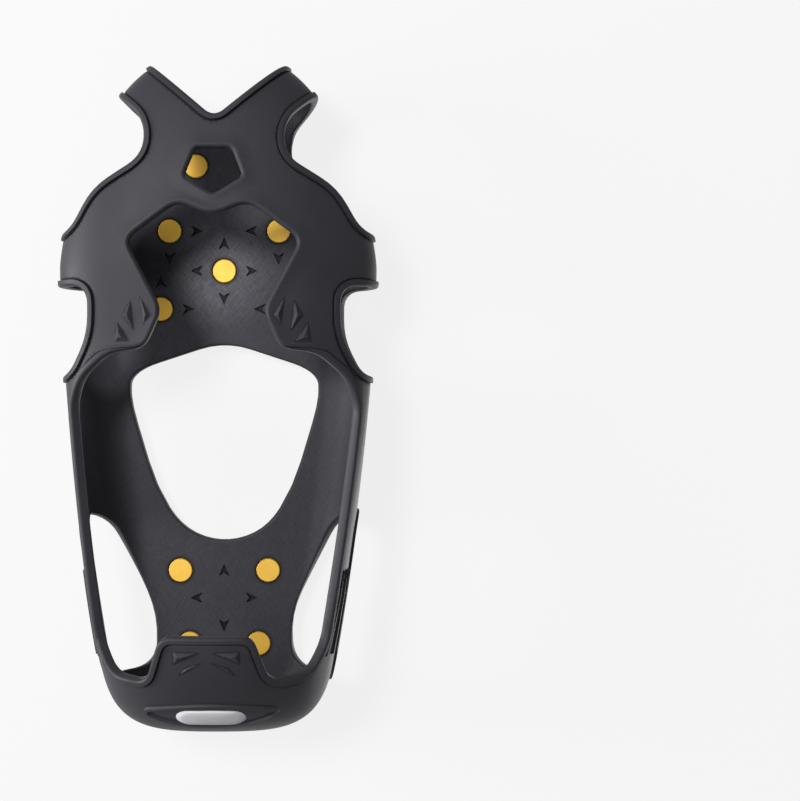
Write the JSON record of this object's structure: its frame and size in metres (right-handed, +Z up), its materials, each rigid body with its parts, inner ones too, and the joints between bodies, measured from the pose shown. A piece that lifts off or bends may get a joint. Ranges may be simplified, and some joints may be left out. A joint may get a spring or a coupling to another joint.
{
  "type": "slip-on ice cleat",
  "caption": "Stretch rubber overshoe harness with toe, side and heel straps, an open arch, a blocked tread and riveted steel spikes, worn over a boot for grip on ice.",
  "frame": {"origin": "middle of the cleat's outline on the ground that the spikes stand on", "axes": "+X to the wearer's right, +Y to the toe, +Z up through the throat"},
  "size_m": [0.1042, 0.2153, 0.0575],
  "materials": {
    "moulded_rubber": "matt moulded charcoal rubber",
    "grey_plate": "light grey moulded plate",
    "yellow_zinc": "yellow zinc plate on steel",
    "bright_steel": "bright turned hard steel"
  },
  "bodies": {
    "root": {"rubber_overshoe": "moulded_rubber", "heel_reflector": "grey_plate", "stud_head_toe_left": "yellow_zinc", "stud_collar_toe_left": "yellow_zinc", "stud_spike_toe_left": "bright_steel", "stud_head_toe_right": "yellow_zinc", "stud_collar_toe_right": "yellow_zinc", "stud_spike_toe_right": "bright_steel", "stud_head_ball_left": "yellow_zinc", "stud_collar_ball_left": "yellow_zinc", "stud_spike_ball_left": "bright_steel", "stud_head_ball_right": "yellow_zinc", "stud_collar_ball_right": "yellow_zinc", "stud_spike_ball_right": "bright_steel", "stud_head_ball_center": "yellow_zinc", "stud_collar_ball_center": "yellow_zinc", "stud_spike_ball_center": "bright_steel", "stud_head_arch_left": "yellow_zinc", "stud_collar_arch_left": "yellow_zinc", "stud_spike_arch_left": "bright_steel", "stud_head_arch_right": "yellow_zinc", "stud_collar_arch_right": "yellow_zinc", "stud_spike_arch_right": "bright_steel", "stud_head_heel_front_left": "yellow_zinc", "stud_collar_heel_front_left": "yellow_zinc", "stud_spike_heel_front_left": "bright_steel", "stud_head_heel_front_right": "yellow_zinc", "stud_collar_heel_front_right": "yellow_zinc", "stud_spike_heel_front_right": "bright_steel", "stud_head_heel_rear_left": "yellow_zinc", "stud_collar_heel_rear_left": "yellow_zinc", "stud_spike_heel_rear_left": "bright_steel", "stud_head_heel_rear_right": "yellow_zinc", "stud_collar_heel_rear_right": "yellow_zinc", "stud_spike_heel_rear_right": "bright_steel"}
  },
  "joints": []
}
